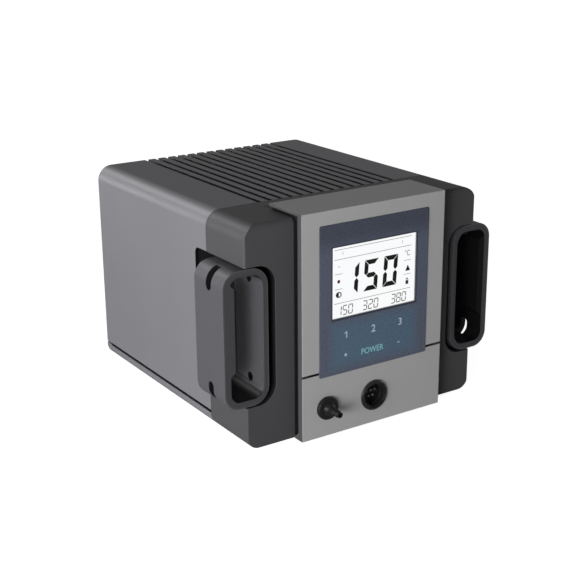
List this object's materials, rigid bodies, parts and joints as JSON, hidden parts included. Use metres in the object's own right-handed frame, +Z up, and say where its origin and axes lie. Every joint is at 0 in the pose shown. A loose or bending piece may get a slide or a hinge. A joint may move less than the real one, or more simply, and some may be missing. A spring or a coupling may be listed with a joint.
{
  "type": "desoldering station",
  "caption": "Desoldering station: grey slotted housing, charcoal front frame with two hoop handles, light grey touch panel with display, tool socket, hose nozzle, rear inlet and switch.",
  "frame": {"origin": "on the table under the middle of the station's bounding box", "axes": "+X to the right of the front panel, +Y to the back, +Z up"},
  "size_m": [0.198, 0.212, 0.1424],
  "materials": {
    "cover_plastic": "satin moulded plastic, grey",
    "frame_plastic": "fine-grained moulded plastic, charcoal",
    "handle_plastic": "fine-grained moulded plastic, dark charcoal",
    "panel_plastic": "satin moulded plastic, light grey",
    "overlay_film": "printed film, dark blue",
    "display_glass": "clear",
    "display_face": "white display",
    "circuit_board": "green board",
    "steel_screw": "plated",
    "black_screw": "blackened",
    "steel_nut": "plated",
    "black_plastic": "black moulded plastic",
    "fitting_plastic": "black moulded plastic",
    "rocker_plastic": "black moulded plastic",
    "contact_metal": "nickel plated",
    "tube_rubber": "soft tube",
    "foot_rubber": "soft rubber",
    "core_steel": "varnished laminations",
    "winding_copper": "taped winding",
    "sheet_steel": "zinc plated sheet",
    "pump_casting": "cast",
    "motor_steel": "zinc plated",
    "fuse_glass": "glass tube with metal caps",
    "rear_panel_metal": "matt black painted sheet"
  },
  "bodies": {
    "housing": {"wrap_cover": "cover_plastic", "base_tray": "cover_plastic", "rear_panel": "rear_panel_metal", "front_frame": "frame_plastic", "panel_core": "frame_plastic", "upper_bezel": "panel_plastic", "lower_bezel": "panel_plastic", "touch_overlay": "overlay_film", "display_window": "display_glass", "lcd_module": "display_face", "display_board": "circuit_board", "display_screws": "steel_screw", "handle_left": "handle_plastic", "handle_right": "handle_plastic", "handle_screws": "black_screw", "socket_ring": "black_plastic", "socket_shell": "black_plastic", "socket_insert": "black_plastic", "socket_pins": "contact_metal", "socket_nut": "steel_nut", "hose_nozzle": "black_plastic", "nozzle_nut": "steel_nut", "air_tube": "tube_rubber", "main_board": "circuit_board", "board_screws": "steel_screw", "transformer_core": "core_steel", "transformer_winding": "winding_copper", "transformer_strap": "sheet_steel", "pump_head": "pump_casting", "pump_motor": "motor_steel", "pump_bracket": "sheet_steel", "inlet_body": "fitting_plastic", "inlet_pins": "contact_metal", "switch_body": "fitting_plastic", "rocker_pivot": "steel_screw", "rear_screws": "steel_screw", "base_screws": "steel_screw", "frame_screws": "steel_screw", "feet": "foot_rubber", "foot_screws": "steel_screw"},
    "power_rocker": {"rocker": "rocker_plastic"},
    "drawer": {"fuse_drawer": "fitting_plastic", "fuse": "fuse_glass"}
  },
  "joints": [
    {"name": "rocker_tilt", "type": "hinge", "parent": "housing", "child": "power_rocker", "pos_m": [0.046, 0.0985, 0.089], "axis": [1, 0, 0], "range_deg": [0, 20]},
    {"name": "drawer_slide", "type": "slide", "parent": "housing", "child": "drawer", "axis": [0, 1, 0], "range_m": [0, 0.015]}
  ]
}
